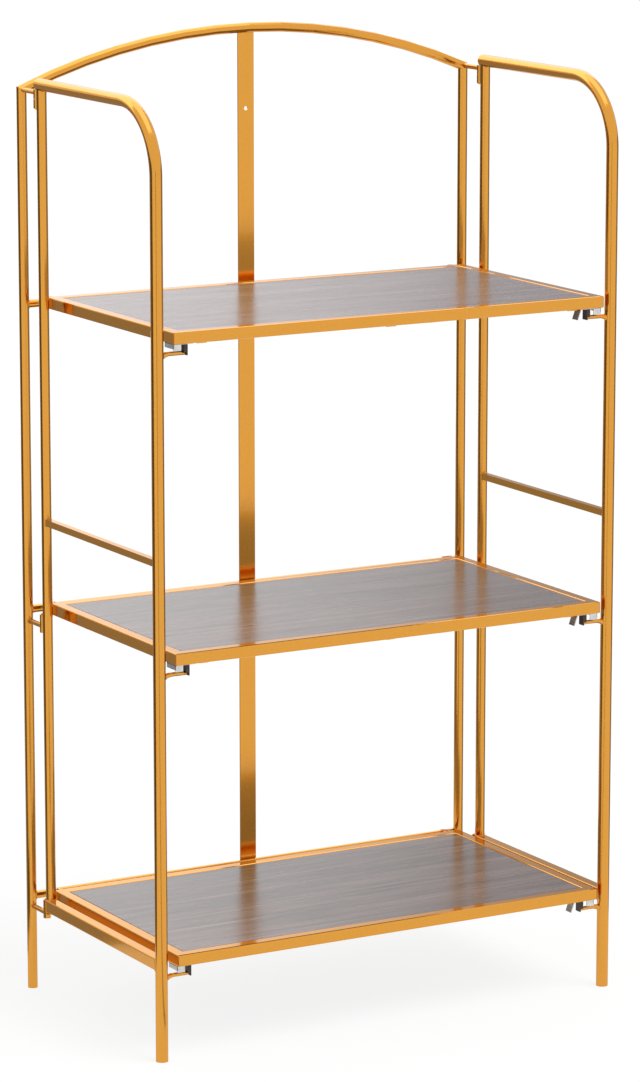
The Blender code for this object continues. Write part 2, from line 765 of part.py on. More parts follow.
def build_side_frame(word, side):
    axis = Vector((side * HALF_SPREAD, HINGE_Y, 0))
    add_object("front_tube_" + word, bent_tube(side), GOLD, axis)
    add_object("rear_post_" + word, rear_post(side), GOLD, axis)
    mid_base = MID_RAIL_HEIGHT - MID_RAIL_SIZE / 2
    mid = side_rail(MID_RAIL_SIZE, MID_RAIL_SIZE, mid_base, side)
    add_object("mid_rail_" + word, mid, GOLD, axis)
    low = side_rail(BOTTOM_RAIL_WIDE, BOTTOM_RAIL_TALL, BOTTOM_RAIL_BASE, side)
    add_object("bottom_rail_" + word, low, GOLD, axis)
    for level, top in SHELF_TOPS.items():
        add_object("catch_rod_" + level + "_" + word, catch_rod(top, side), GOLD, axis)
    for place, hinge in HINGES.items():
        add_object("hinge_arm_" + place + "_" + word, hinge_arm(hinge, side), GOLD)
        add_object("hinge_sleeve_" + place + "_" + word, hinge_sleeve(hinge, side), GOLD, axis)


def build_shelf(level, top):
    axis = Vector((0, PIVOT_Y, top - PIVOT_DROP))
    add_object("shelf_frame_" + level, shelf_frame(top), GOLD, axis)
    add_object("shelf_panel_" + level, shelf_panel(top), BOARD, axis)
    for word, side in SIDES.items():
        add_object("catch_clip_" + level + "_" + word, catch_clip(top, side), STEEL, axis)
        add_object("catch_hook_" + level + "_" + word, catch_hook(top, side), BLACK, axis)


def build():
    clear_scene()
    build_back_frame()
    for word, side in SIDES.items():
        build_side_frame(word, side)
    for level, top in SHELF_TOPS.items():
        build_shelf(level, top)


build()
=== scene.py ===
"""Looks of the folding bookshelf: finishes, finer tubes, welds, floor, light and camera.

Metres, +Z up, X along the width, the open front faces -Y, as in the fixed frame.
"""

import json
import math

import bmesh
import bpy
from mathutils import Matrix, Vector

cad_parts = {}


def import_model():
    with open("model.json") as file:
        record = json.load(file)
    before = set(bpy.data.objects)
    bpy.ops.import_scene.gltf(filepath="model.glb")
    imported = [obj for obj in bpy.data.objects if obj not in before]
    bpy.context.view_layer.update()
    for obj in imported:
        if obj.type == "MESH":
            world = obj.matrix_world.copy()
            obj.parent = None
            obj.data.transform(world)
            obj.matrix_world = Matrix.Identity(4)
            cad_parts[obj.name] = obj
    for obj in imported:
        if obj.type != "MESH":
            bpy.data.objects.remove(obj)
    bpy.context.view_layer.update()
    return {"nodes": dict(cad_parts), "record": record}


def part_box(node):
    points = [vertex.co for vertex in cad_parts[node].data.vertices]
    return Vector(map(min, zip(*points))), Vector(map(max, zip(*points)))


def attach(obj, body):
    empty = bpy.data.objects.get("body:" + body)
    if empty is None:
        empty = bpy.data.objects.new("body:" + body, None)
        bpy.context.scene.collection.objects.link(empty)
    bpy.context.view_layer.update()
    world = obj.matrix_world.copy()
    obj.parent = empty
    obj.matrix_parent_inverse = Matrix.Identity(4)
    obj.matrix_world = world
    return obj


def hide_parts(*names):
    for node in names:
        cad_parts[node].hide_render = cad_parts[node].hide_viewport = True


MM = 0.001

LEVELS = ("upper", "middle", "lower")
SIDES = {"left": -1, "right": 1}

# Bottom rails of the side frames, beside the lower shelf's frame as the photograph shows
BOTTOM_RAIL_TALL = 12.6 * MM
BOTTOM_RAIL_DROP = 3.2 * MM         # lower shelf's top to the rail's top
BOTTOM_RAIL_ROUND = 1.2 * MM        # rounding of its edges
BOTTOM_RAIL_ROUND_STEPS = 4

# Catch clips under the shelves' front corners
CLIP_SHEET = 1.0 * MM
CLIP_LONG = 22.4 * MM
CLIP_ROUND = 0.3 * MM               # rounding of the sheet's edges
CLIP_ROUND_STEPS = 2
CHEEK_LONG = 9.0 * MM               # the leaf that faces the front
CHEEK_TALL = 7.2 * MM
FLANGE_TALL = 5.2 * MM              # the leaf that faces the side frame
TONGUE_FLAT = 1.6 * MM
TONGUE_LEAN = 4.2 * MM
TONGUE_WIDE = 10.5 * MM
TONGUE_LIFT = 1.0 * MM              # tongue's tip above the bottom of the CAD clip
TONGUE_START = 1.1 * MM             # front edge of the clip to the tongue

# Camera, from the photograph's perspective
CAMERA_PLACE = (-2.3116, -4.0504, 1.4190)
CAMERA_TURN = 0.51899               # to the right of +Y
CAMERA_TILT = 0.19783               # below the horizon
CAMERA_LENS = 151.42                # mm
CAMERA_SENSOR = 36                  # mm along the taller side

# Side frames' bent tubes
TUBE_WALL = 1.0 * MM
BEND_RADIUS = 70 * MM               # centre line of the bend between front post and top rail
BEND_STEPS = 36
TUBE_SIDES = 48
SHARP_ANGLE = math.radians(40)      # a steeper edge, as at an open end, is shaded sharp

# Cross bars and hinge arms, as they meet the back posts
BAR_DIA = 8.5 * MM
BAR_DROP = 9.7 * MM                 # shelf's top to the cross bar's centre line
ARM_DIA = 5.5 * MM
ARM_RISES = {"middle": 6.4 * MM, "bottom": 5.0 * MM}    # hinge arm's foot to its centre line

# Welds, laid along the lines where rails, arms and bars meet a post
BEAD_RADIUS = 0.75 * MM
BEAD_PITCH = 0.9 * MM
BEAD_CORE_SHARE = 0.85              # of the bead's radius
BEAD_SUBDIVISIONS = 2
CORE_SIDES = 8
SEAM_STEPS = 40                     # points round a seam
SEAT = 0.3 * MM                     # gap between a rail's end and its post
GROOVE_ASIDE = BEAD_RADIUS * 2      # centre of a hinge sleeve to the grooves beside it
GROOVE_INSET = BEAD_RADIUS * 2      # end of a sleeve to the end of its weld

# Studio
FLOOR_SIZE = 40.0
WORLD_FILL = 0.75
SUN_STRENGTH = 1.5
SUN_ANGLE = math.radians(35)
SUN_AIM = (-0.35, 0.5, -1.0)
FLOOR_SHARE = 0.15                  # of the floor's white that comes from light and shows shadow
CARD_NEAR = 0.30
CARD_FAR = 4.0
CARD_HIGH = 1.1
CARD_LIFT = 2 * MM                  # off the floor
SIDE_PLANE = 265 * MM               # centre of the object to a side frame
# Cards that only reflections see: place along X that they fan out from, azimuths, brightness
CARDS = {
    "dark_left": (-SIDE_PLANE, 128, 176, 0.11),
    "grey_left": (-SIDE_PLANE, 70, 128, 0.38),
    "grey_right": (SIDE_PLANE, -24, 48, 0.32),
    "strip_by_camera": (0, 231, 238, 0.30),
}
# Lamps that only reflections see, which whiten the upper sides of the top rails and the arch
BACK_LAMP_X = (-3.0, 3.4)
BACK_LAMP_Z = (1.8, 5.0)
BACK_LAMP_BRIGHT = 2.4
TOP_LAMP_HALF = 1.8
TOP_LAMP_HIGH = 4.0
TOP_LAMP_BRIGHT = 2.0
LAMP_COLOUR = (0.95, 0.92, 1.1, 1)
# Backdrop that the shelves reflect, brighter to the left
BACKDROP_Y = 2.5
BACKDROP_X = (0.2, 3.2)
BACKDROP_Z = (0.15, 1.75)
BACKDROP_FULL = 1.92                # brightness that counts as white in its shades
BACKDROP_FADE_Z = (0.94, 1.26)      # heights between which it dims
BACKDROP_FADE_SHARE = 0.77          # of its brightness, above them
# Place along X, brightness
BACKDROP_SHADES = (
    (0.90, 1.62),
    (1.10, 1.50),
    (1.35, 1.28),
    (1.58, 1.00),
    (1.74, 0.70),
    (1.90, 0.58),
    (2.30, 0.45),
)

# Finishes: colours are linear, noise scales are per metre, and each _MIX is the part of the
# noise over which one colour turns into the other

# Gold lacquer
GOLD_COLOUR = (0.76, 0.335, 0.030, 1)
GOLD_DEEP = (0.69, 0.300, 0.024, 1)
GOLD_EDGE = (0.75, 0.60, 0.45, 1)
GOLD_ROUGHNESS = (0.13, 0.19)
GOLD_HAZE_SCALE = 60
COAT_WEIGHT = 0.7
COAT_ROUGHNESS = 0.06
COAT_IOR = 1.5
FLAKE_SCALE = 1400
FLAKE_MIX = (0.3, 0.7)
RIPPLE_SCALE = 260
RIPPLE_DEPTH = 0.02 * MM
RIPPLE_STRENGTH = 0.3

# Plated steel
STEEL_COLOUR = (0.72, 0.72, 0.71, 1)
STEEL_DULL = (0.60, 0.60, 0.60, 1)
STEEL_ROUGHNESS = (0.34, 0.48)
CLOUD_SCALE = 180
CLOUD_MIX = (0.35, 0.65)
ROLL_SCALE = 90
ROLL_STRETCH = (1, 30, 30)
ROLL_DEPTH = 0.03 * MM
ROLL_STRENGTH = 0.4

# Dark plastic
BLACK_COLOUR = (0.050, 0.032, 0.026, 1)
BLACK_WORN = (0.085, 0.056, 0.045, 1)
BLACK_ROUGHNESS = (0.38, 0.55)
BLACK_IOR = 1.5
WEAR_SCALE = 300
WEAR_MIX = (0.4, 0.7)
SPARK_SCALE = 1600
SPARK_DEPTH = 0.03 * MM
SPARK_STRENGTH = 0.5

# Shelf board
BOARD_DARK = (0.042, 0.020, 0.015, 1)
BOARD_LIGHT = (0.210, 0.132, 0.108, 1)
BOARD_ROUGHNESS = (0.12, 0.34)
BOARD_IOR = 1.8
GRAIN_SCALE = 14
GRAIN_STRETCH = (0.35, 8, 8)
GRAIN_MIX = (0.36, 0.66)
GRAIN_BREAKUP = 0.72                # roughness of the grain's noise
GRAIN_DEPTH = 0.15 * MM
GRAIN_STRENGTH = 0.8
PORE_SCALE = 60
PORE_STRETCH = (0.5, 12, 12)

WHITE = (1, 1, 1, 1)


# Materials

class Graph:
    """A material's node tree with short calls for nodes and links."""

    def __init__(self, name):
        self.material = bpy.data.materials.new(name)
        self.material.use_nodes = True
        self.tree = self.material.node_tree
        self.shader = self.tree.nodes["Principled BSDF"]

    def node(self, kind, **values):
        made = self.tree.nodes.new(kind)
        for key, value in values.items():
            if key in made.inputs:
                made.inputs[key].default_value = value
            else:
                setattr(made, key, value)
        return made

    def link(self, source, target):
        self.tree.links.new(source, target)

    def set(self, **values):
        """Values of the shader's own sockets."""
        for key, value in values.items():
            self.shader.inputs[key.replace("_", " ")].default_value = value

    def noise(self, scale, stretch=(1, 1, 1), detail=3.0, roughness=0.5):
        """Noise in object coordinates, stretched along the axes."""
        place = self.node("ShaderNodeTexCoord")
        mapping = self.node("ShaderNodeMapping", Scale=stretch)
        self.link(place.outputs["Object"], mapping.inputs["Vector"])
        made = self.node("ShaderNodeTexNoise", Scale=scale, Detail=detail, Roughness=roughness)
        self.link(mapping.outputs["Vector"], made.inputs["Vector"])
        return made.outputs["Fac"]

    def spread(self, value, low, high, start=0.0, end=1.0):
        """A value that runs from low to high while the given one runs from start to end."""
        made = self.node("ShaderNodeMapRange")
        made.inputs["From Min"].default_value = start
        made.inputs["From Max"].default_value = end
        made.inputs["To Min"].default_value = low
        made.inputs["To Max"].default_value = high
        self.link(value, made.inputs["Value"])
        return made.outputs["Result"]

    def mix(self, value, low_colour, high_colour, span):
        """Base colour from one colour to another as a value goes over a span."""
        ramp = self.node("ShaderNodeValToRGB")
        first, last = ramp.color_ramp.elements
        first.position, last.position = span
        first.color = low_colour
        last.color = high_colour
        self.link(value, ramp.inputs["Fac"])
        self.link(ramp.outputs["Color"], self.shader.inputs["Base Color"])

    def roughen(self, value, span):
        """Roughness from the low to the high end of a span as a value goes from 0 to 1."""
        self.link(self.spread(value, *span), self.shader.inputs["Roughness"])

    def bump(self, height, distance, strength):
        made = self.node("ShaderNodeBump", Strength=strength, Distance=distance)
        self.link(height, made.inputs["Height"])
        self.link(made.outputs["Normal"], self.shader.inputs["Normal"])


def gold_finish():
    """Gold metallic lacquer: fine flakes and a slight ripple under a clear glossy coat."""
    graph = Graph("gold_lacquer")
    graph.set(Metallic=1.0, Specular_Tint=GOLD_EDGE)
    graph.set(Coat_Weight=COAT_WEIGHT, Coat_Roughness=COAT_ROUGHNESS, Coat_IOR=COAT_IOR)
    graph.mix(graph.noise(FLAKE_SCALE, detail=1.0), GOLD_DEEP, GOLD_COLOUR, FLAKE_MIX)
    graph.roughen(graph.noise(GOLD_HAZE_SCALE), GOLD_ROUGHNESS)
    graph.bump(graph.noise(RIPPLE_SCALE, detail=2.0), RIPPLE_DEPTH, RIPPLE_STRENGTH)
    return graph.material


def steel_finish():
    """Bright plated sheet with faint rolling lines and a cloudy plating."""
    graph = Graph("plated_steel")
    graph.set(Metallic=1.0)
    graph.mix(graph.noise(CLOUD_SCALE, detail=2.0), STEEL_DULL, STEEL_COLOUR, CLOUD_MIX)
    rolled = graph.noise(ROLL_SCALE, ROLL_STRETCH, detail=2.0)
    graph.roughen(rolled, STEEL_ROUGHNESS)
    graph.bump(rolled, ROLL_DEPTH, ROLL_STRENGTH)
    return graph.material


def plastic_finish():
    """Dark moulded plastic with a fine spark-eroded grain."""
    graph = Graph("dark_hook")
    graph.set(IOR=BLACK_IOR)
    sparks = graph.noise(SPARK_SCALE, detail=2.0)
    graph.mix(graph.noise(WEAR_SCALE), BLACK_COLOUR, BLACK_WORN, WEAR_MIX)
    graph.roughen(sparks, BLACK_ROUGHNESS)
    graph.bump(sparks, SPARK_DEPTH, SPARK_STRENGTH)
    return graph.material


def board_finish():
    """Dark brown laminate with a fine grain along the shelf, under a glossy face."""
    graph = Graph("dark_board")
    graph.set(IOR=BOARD_IOR)
    grain = graph.noise(GRAIN_SCALE, GRAIN_STRETCH, detail=8.0, roughness=GRAIN_BREAKUP)
    pores = graph.noise(PORE_SCALE, PORE_STRETCH, detail=4.0)
    graph.mix(grain, BOARD_DARK, BOARD_LIGHT, GRAIN_MIX)
    graph.roughen(pores, BOARD_ROUGHNESS)
    graph.bump(grain, GRAIN_DEPTH, GRAIN_STRENGTH)
    return graph.material


def give(obj, material):
    """The one material of an object."""
    obj.data.materials.clear()
    obj.data.materials.append(material)


def finish_kept_nodes(frame, finishes):
    """Each CAD node takes the finish of its material slot."""
    slots = {s["node"]: s["material_slot"] for s in frame["record"]["subparts"]}
    for name, obj in frame["nodes"].items():
        give(obj, finishes[slots[name]])


def shelf_top(level):
    """Height of a shelf's frame."""
    low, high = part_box("shelf_frame_" + level)
    return high[2]


# Geometry Nodes

class Tree:
    """A Geometry Nodes tree with named inputs, from edges in to a finished mesh out."""

    def __init__(self, name):
        self.tree = bpy.data.node_groups.new(name, "GeometryNodeTree")
        self.socket("Geometry", "NodeSocketGeometry")
        self.tree.interface.new_socket("Geometry", in_out="OUTPUT", socket_type="NodeSocketGeometry")
        self.start = self.tree.nodes.new("NodeGroupInput")
        self.end = self.tree.nodes.new("NodeGroupOutput")

    def socket(self, name, kind):
        self.tree.interface.new_socket(name, in_out="INPUT", socket_type=kind)

    def node(self, kind, **values):
        made = self.tree.nodes.new(kind)
        for key, value in values.items():
            setattr(made, key, value)
        return made

    def link(self, source, target):
        self.tree.links.new(source, target)

    def entry(self, name):
        return self.start.outputs[name]

    def close(self, geometry):
        """Realize Instances, smooth shading and Set Material, then out."""
        realize = self.node("GeometryNodeRealizeInstances")
        smooth = self.node("GeometryNodeSetShadeSmooth")
        finish = self.node("GeometryNodeSetMaterial")
        self.link(geometry, realize.inputs["Geometry"])
        self.link(realize.outputs["Geometry"], smooth.inputs["Geometry"])
        self.link(smooth.outputs["Geometry"], finish.inputs["Geometry"])
        self.link(self.entry("Finish"), finish.inputs["Material"])
        self.link(finish.outputs["Geometry"], self.end.inputs["Geometry"])
        return self.tree


def tube_tree():
    """A round skin along a path."""
    made = Tree("tube along a path")
    made.socket("Radius", "NodeSocketFloat")
    made.socket("Sides", "NodeSocketInt")
    made.socket("Finish", "NodeSocketMaterial")
    path = made.node("GeometryNodeMeshToCurve")
    made.link(made.entry("Geometry"), path.inputs["Mesh"])
    section = made.node("GeometryNodeCurvePrimitiveCircle")
    made.link(made.entry("Sides"), section.inputs["Resolution"])
    made.link(made.entry("Radius"), section.inputs["Radius"])
    skin = made.node("GeometryNodeCurveToMesh")
    made.link(path.outputs["Curve"], skin.inputs["Curve"])
    made.link(section.outputs["Curve"], skin.inputs["Profile Curve"])
    return made.close(skin.outputs["Mesh"])


def bead_tree():
    """A weld: a thin core along each seam, and overlapping beads on it."""
    made = Tree("weld along a seam")
    made.socket("Radius", "NodeSocketFloat")
    made.socket("Core radius", "NodeSocketFloat")
    made.socket("Pitch", "NodeSocketFloat")
    made.socket("Finish", "NodeSocketMaterial")
    path = made.node("GeometryNodeMeshToCurve")
    made.link(made.entry("Geometry"), path.inputs["Mesh"])
    section = made.node("GeometryNodeCurvePrimitiveCircle")
    section.inputs["Resolution"].default_value = CORE_SIDES
    made.link(made.entry("Core radius"), section.inputs["Radius"])
    core = made.node("GeometryNodeCurveToMesh")
    core.inputs["Fill Caps"].default_value = True
    made.link(path.outputs["Curve"], core.inputs["Curve"])
    made.link(section.outputs["Curve"], core.inputs["Profile Curve"])
    steps = made.node("GeometryNodeResampleCurve", mode="LENGTH")
    made.link(path.outputs["Curve"], steps.inputs["Curve"])
    made.link(made.entry("Pitch"), steps.inputs["Length"])
    bead = made.node("GeometryNodeMeshIcoSphere")
    bead.inputs["Subdivisions"].default_value = BEAD_SUBDIVISIONS
    made.link(made.entry("Radius"), bead.inputs["Radius"])
    place = made.node("GeometryNodeInstanceOnPoints")
    made.link(steps.outputs["Curve"], place.inputs["Points"])
    made.link(bead.outputs["Mesh"], place.inputs["Instance"])
    both = made.node("GeometryNodeJoinGeometry")
    made.link(core.outputs["Mesh"], both.inputs["Geometry"])
    made.link(place.outputs["Instances"], both.inputs["Geometry"])
    return made.close(both.outputs["Geometry"])


def edge_object(name, paths):
    """Edges in a mesh: each path is its points and whether it closes."""
    points = []
    edges = []
    for path, closed in paths:
        first = len(points)
        points.extend(path)
        last = len(points) - 1
        edges.extend((i, i + 1) for i in range(first, last))
        if closed:
            edges.append((last, first))
    mesh = bpy.data.meshes.new(name)
    mesh.from_pydata(points, edges, [])
    obj = bpy.data.objects.new(name, mesh)
    bpy.context.scene.collection.objects.link(obj)
    return obj


def grow(obj, tree, **inputs):
    """Runs a tree over the object's edges and keeps the plain mesh that comes out."""
    sockets = {}
    for item in tree.interface.items_tree:
        if item.item_type == "SOCKET" and item.in_out == "INPUT":
            sockets[item.name.replace(" ", "_").lower()] = item.identifier
    modifier = obj.modifiers.new("shape", "NODES")
    modifier.node_group = tree
    for key, value in inputs.items():
        modifier[sockets[key]] = value
    settle(obj)


def settle(obj):
    """Keeps the mesh that the object's modifiers make, and takes them off."""
    graph = bpy.context.evaluated_depsgraph_get()
    mesh = bpy.data.meshes.new_from_object(obj.evaluated_get(graph))
    obj.modifiers.clear()
    obj.data = mesh


# Bent tubes of the side frames

def bent_path(node):
    """Centre line of a side frame's tube: up the front, round the bend, back to the rear post."""
    low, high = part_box(node)
    radius = (high[0] - low[0]) / 2
    x = (high[0] + low[0]) / 2
    front = low[1] + radius
    rail = high[2] - radius
    points = [(x, front, low[2])]
    for i in range(BEND_STEPS + 1):
        turn = math.pi / 2 * i / BEND_STEPS
        y = front + BEND_RADIUS * (1 - math.cos(turn))
        z = rail - BEND_RADIUS * (1 - math.sin(turn))
        points.append((x, y, z))
    points.append((x, high[1], rail))
    return points, radius


def make_bent_tube(word, tree, finish):
    """Front post, bend and top rail of a side frame, as a round tube with a real wall."""
    node = "front_tube_" + word
    points, radius = bent_path(node)
    tube = edge_object("bent_tube_" + word, [(points, False)])
    grow(tube, tree, radius=radius, sides=TUBE_SIDES, finish=finish)
    wall = tube.modifiers.new("wall", "SOLIDIFY")
    wall.thickness = TUBE_WALL
    wall.offset = -1
    settle(tube)
    tube.data.set_sharp_from_angle(angle=SHARP_ANGLE)
    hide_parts(node)
    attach(tube, "side_frame_" + word)


# Blocks and leaves

def block(low, high):
    """Corners and faces of a straight block between two corners."""
    corners = [(x, y, z) for x in (low[0], high[0]) for y in (low[1], high[1]) for z in (low[2], high[2])]
    faces = [(0, 1, 3, 2), (4, 6, 7, 5), (0, 4, 5, 1), (2, 3, 7, 6), (0, 2, 6, 4), (1, 5, 7, 3)]
    return corners, faces


def face_out(mesh):
    """Turns the faces of closed shapes outwards."""
    work = bmesh.new()
    work.from_mesh(mesh)
    bmesh.ops.recalc_face_normals(work, faces=work.faces)
    work.to_mesh(mesh)
    work.free()


def rounded(name, corners, faces, rounding, steps):
    """One or more closed shapes in a mesh, with rounded edges."""
    mesh = bpy.data.meshes.new(name)
    mesh.from_pydata(corners, [], faces)
    face_out(mesh)
    obj = bpy.data.objects.new(name, mesh)
    bpy.context.scene.collection.objects.link(obj)
    soft = obj.modifiers.new("soft edges", "BEVEL")
    soft.width = rounding
    soft.segments = steps
    soft.limit_method = "ANGLE"
    settle(obj)
    return obj


# Bottom rails

def bottom_rail_box(word):
    """The CAD rail's place between the posts, at the scene's own height."""
    low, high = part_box("bottom_rail_" + word)
    top = shelf_top("lower") - BOTTOM_RAIL_DROP
    return (low[0], low[1], top - BOTTOM_RAIL_TALL), (high[0], high[1], top)


def make_bottom_rail(word, finish):
    """A rail with rounded edges, low between the posts of a side frame."""
    corners, faces = block(*bottom_rail_box(word))
    name = "lower_rail_" + word
    rail = rounded(name, corners, faces, BOTTOM_RAIL_ROUND, BOTTOM_RAIL_ROUND_STEPS)
    give(rail, finish)
    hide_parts("bottom_rail_" + word)
    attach(rail, "side_frame_" + word)


# Catch clips

def tongue_leaf(inner, front, top, tip):
    """The release tongue: a short flat run and a slanting leaf, in one closed shape."""
    bend = inner - TONGUE_FLAT
    lean = Vector((-TONGUE_LEAN, tip - top))
    across = Vector((top - tip, -TONGUE_LEAN)).normalized() * CLIP_SHEET
    profile = [
        (inner + CLIP_SHEET, top),
        (bend, top),
        (bend + lean.x, top + lean.y),
        (bend + lean.x + across.x, top + lean.y + across.y),
        (bend + across.x, top - CLIP_SHEET),
        (inner + CLIP_SHEET, top - CLIP_SHEET),
    ]
    corners = [(x, y, z) for y in (front, front + TONGUE_WIDE) for x, z in profile]
    count = len(profile)
    faces = [tuple(range(count)), tuple(reversed(range(count, 2 * count)))]
    for i in range(count):
        after = (i + 1) % count
        faces.append((after, i, i + count, after + count))
    return corners, faces


def make_clip(level, word, finish):
    """A bent sheet with rounded edges; only the right clips have a release tongue."""
    node = "catch_clip_" + level + "_" + word
    low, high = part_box(node)
    side = SIDES[word]
    outer = max(abs(low[0]), abs(high[0]))
    front, rear, top = low[1], high[1], high[2]
    leaves = [
        block((outer - CLIP_LONG, front, top - CLIP_SHEET), (outer, rear, top)),
        block((outer - CHEEK_LONG, front, top - CHEEK_TALL), (outer, front + CLIP_SHEET, top)),
        block((outer - CLIP_SHEET, front, top - FLANGE_TALL), (outer, rear, top)),
    ]
    if word == "right":
        tip = low[2] + TONGUE_LIFT
        leaves.append(tongue_leaf(outer - CLIP_LONG, front + TONGUE_START, top, tip))
    points = []
    sides = []
    for corners, faces in leaves:
        sides.extend(tuple(i + len(points) for i in face) for face in faces)
        points.extend((side * x, y, z) for x, y, z in corners)
    clip = rounded("clip_" + level + "_" + word, points, sides, CLIP_ROUND, CLIP_ROUND_STEPS)
    give(clip, finish)
    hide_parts(node)
    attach(clip, "shelf_" + level)


# Welds

def round_outline(radius):
    """Offsets across and up round a rod."""
    turns = [math.tau * i / SEAM_STEPS for i in range(SEAM_STEPS)]
    return [(radius * math.cos(turn), radius * math.sin(turn)) for turn in turns]


def square_outline(wide, tall):
    """Offsets across and up round a rectangular rail, evenly along each side."""
    corners = [(-wide, -tall), (wide, -tall), (wide, tall), (-wide, tall)]
    side_steps = SEAM_STEPS // len(corners)
    points = []
    for (x0, z0), (x1, z1) in zip(corners, corners[1:] + corners[:1]):
        for i in range(side_steps):
            share = i / side_steps
            points.append(((x0 + (x1 - x0) * share) / 2, (z0 + (z1 - z0) * share) / 2))
    return points


def axis_of(low, high):
    """Axis and radius of an upright post from its box."""
    radius = (high[0] - low[0]) / 2
    return low[0] + radius, high[1] - radius, radius


def seam_on(axis, direction, height, outline):
    """Line on a post's skin round the end of what meets it there."""
    x, y, radius = axis
    along = Vector((direction[0], direction[1], 0))
    across = Vector((-direction[1], direction[0], 0))
    points = []
    for aside, up in outline:
        reach = math.sqrt(max(radius ** 2 - aside ** 2, 0))
        points.append(Vector((x, y, height + up)) + along * (reach + SEAT / 2) + across * aside)
    return points, True


def side_seams(word):
    """Where the two rails meet the posts of a side frame, and the sleeves lie on the rear post."""
    low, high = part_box("front_tube_" + word)
    radius = (high[0] - low[0]) / 2
    front = (low[0] + radius, low[1] + radius, radius)
    rear = axis_of(*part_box("rear_post_" + word))
    seams = []
    for low, high in (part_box("mid_rail_" + word), bottom_rail_box(word)):
        height = (low[2] + high[2]) / 2
        outline = square_outline(high[0] - low[0], high[2] - low[2])
        seams.append(seam_on(front, (0, 1), height, outline))
        seams.append(seam_on(rear, (0, -1), height, outline))
    for place in ("top", "middle", "bottom"):
        seams.extend(sleeve_seams("hinge_sleeve_" + place + "_" + word, rear))
    return seams


def sleeve_seams(sleeve, rear):
    """Two upright seams in the grooves between a hinge sleeve and the rear post."""
    low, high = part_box(sleeve)
    x, y, radius = rear
    groove_y = y + radius + SEAT / 2
    ends = (low[2] + GROOVE_INSET, high[2] - GROOVE_INSET)
    seams = []
    for groove_x in (x - GROOVE_ASIDE, x + GROOVE_ASIDE):
        seams.append(([(groove_x, groove_y, z) for z in ends], False))
    return seams


def back_seams():
    """Where the cross bars and hinge arms meet the back posts."""
    seams = []
    for word, side in SIDES.items():
        post = axis_of(*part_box("back_post_" + word))
        for level in LEVELS:
            height = shelf_top(level) - BAR_DROP
            seams.append(seam_on(post, (-side, 0), height, round_outline(BAR_DIA / 2)))
        for place, rise in ARM_RISES.items():
            low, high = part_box("hinge_arm_" + place + "_" + word)
            seams.append(seam_on(post, (0, -1), low[2] + rise, round_outline(ARM_DIA / 2)))
    return seams


def make_welds(finish):
    """One piece of welds for each body that has them."""
    tree = bead_tree()
    bodies = {"back_frame": back_seams()}
    for word in SIDES:
        bodies["side_frame_" + word] = side_seams(word)
    for body, seams in bodies.items():
        weld = edge_object("welds_" + body, seams)
        grow(
            weld,
            tree,
            radius=BEAD_RADIUS,
            core_radius=BEAD_RADIUS * BEAD_CORE_SHARE,
            pitch=BEAD_PITCH,
            finish=finish,
        )
        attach(weld, body)


# Studio

def make_floor():
    """A white floor that keeps the object's soft shadow."""
    mesh = bpy.data.meshes.new("floor")
    half = FLOOR_SIZE / 2
    corners = [(-half, -half, 0), (half, -half, 0), (half, half, 0), (-half, half, 0)]
    mesh.from_pydata(corners, [], [(0, 1, 2, 3)])
    floor = bpy.data.objects.new("floor", mesh)
    bpy.context.scene.collection.objects.link(floor)
    graph = Graph("floor")
    # Part of the white is light on the floor, which shadows take away, and part is its own
    # for the camera and for reflections.
    lit = graph.node("ShaderNodeBsdfDiffuse", Color=(FLOOR_SHARE, FLOOR_SHARE, FLOOR_SHARE, 1))
    path = graph.node("ShaderNodeLightPath")
    seen = graph.node("ShaderNodeMath", operation="MAXIMUM")
    graph.link(path.outputs["Is Camera Ray"], seen.inputs[0])
    graph.link(path.outputs["Is Glossy Ray"], seen.inputs[1])
    own = graph.node("ShaderNodeMath", operation="MULTIPLY")
    own.inputs[1].default_value = 1 - FLOOR_SHARE
    graph.link(seen.outputs["Value"], own.inputs[0])
    white = graph.node("ShaderNodeEmission", Color=WHITE)
    graph.link(own.outputs["Value"], white.inputs["Strength"])
    both = graph.node("ShaderNodeAddShader")
    graph.link(lit.outputs["BSDF"], both.inputs[0])
    graph.link(white.outputs["Emission"], both.inputs[1])
    output = graph.tree.nodes["Material Output"]
    graph.link(both.outputs["Shader"], output.inputs["Surface"])
    give(floor, graph.material)


def make_card(name, apex, start, end, brightness):
    """A card between two azimuths, along the floor and up."""
    corners = []
    for distance, height in ((CARD_NEAR, CARD_LIFT), (CARD_FAR, CARD_LIFT), (CARD_FAR, CARD_HIGH)):
        for azimuth in (start, end):
            turn = math.radians(azimuth)
            x = apex + distance * math.cos(turn)
            corners.append((x, distance * math.sin(turn), height))
    glowing_card(name, corners, [(0, 1, 3, 2), (2, 3, 5, 4)], brightness)


def make_back_lamp():
    """A bright softbox upright above the backdrop."""
    corners = [(x, BACKDROP_Y, z) for z in BACK_LAMP_Z for x in BACK_LAMP_X]
    glowing_card("back_lamp", corners, [(0, 1, 3, 2)], BACK_LAMP_BRIGHT, LAMP_COLOUR)


def make_top_lamp():
    """A bright softbox level above the object."""
    half = TOP_LAMP_HALF
    corners = [(x, y, TOP_LAMP_HIGH) for y in (-half, half) for x in (-half, half)]
    glowing_card("top_lamp", corners, [(0, 1, 3, 2)], TOP_LAMP_BRIGHT, LAMP_COLOUR)


def glowing_card(name, corners, faces, brightness, colour=WHITE):
    """A card of one brightness all over."""
    graph = Graph(name)
    glow = graph.node("ShaderNodeEmission", Color=colour, Strength=brightness)
    set_up_card(name, corners, faces, graph, glow)


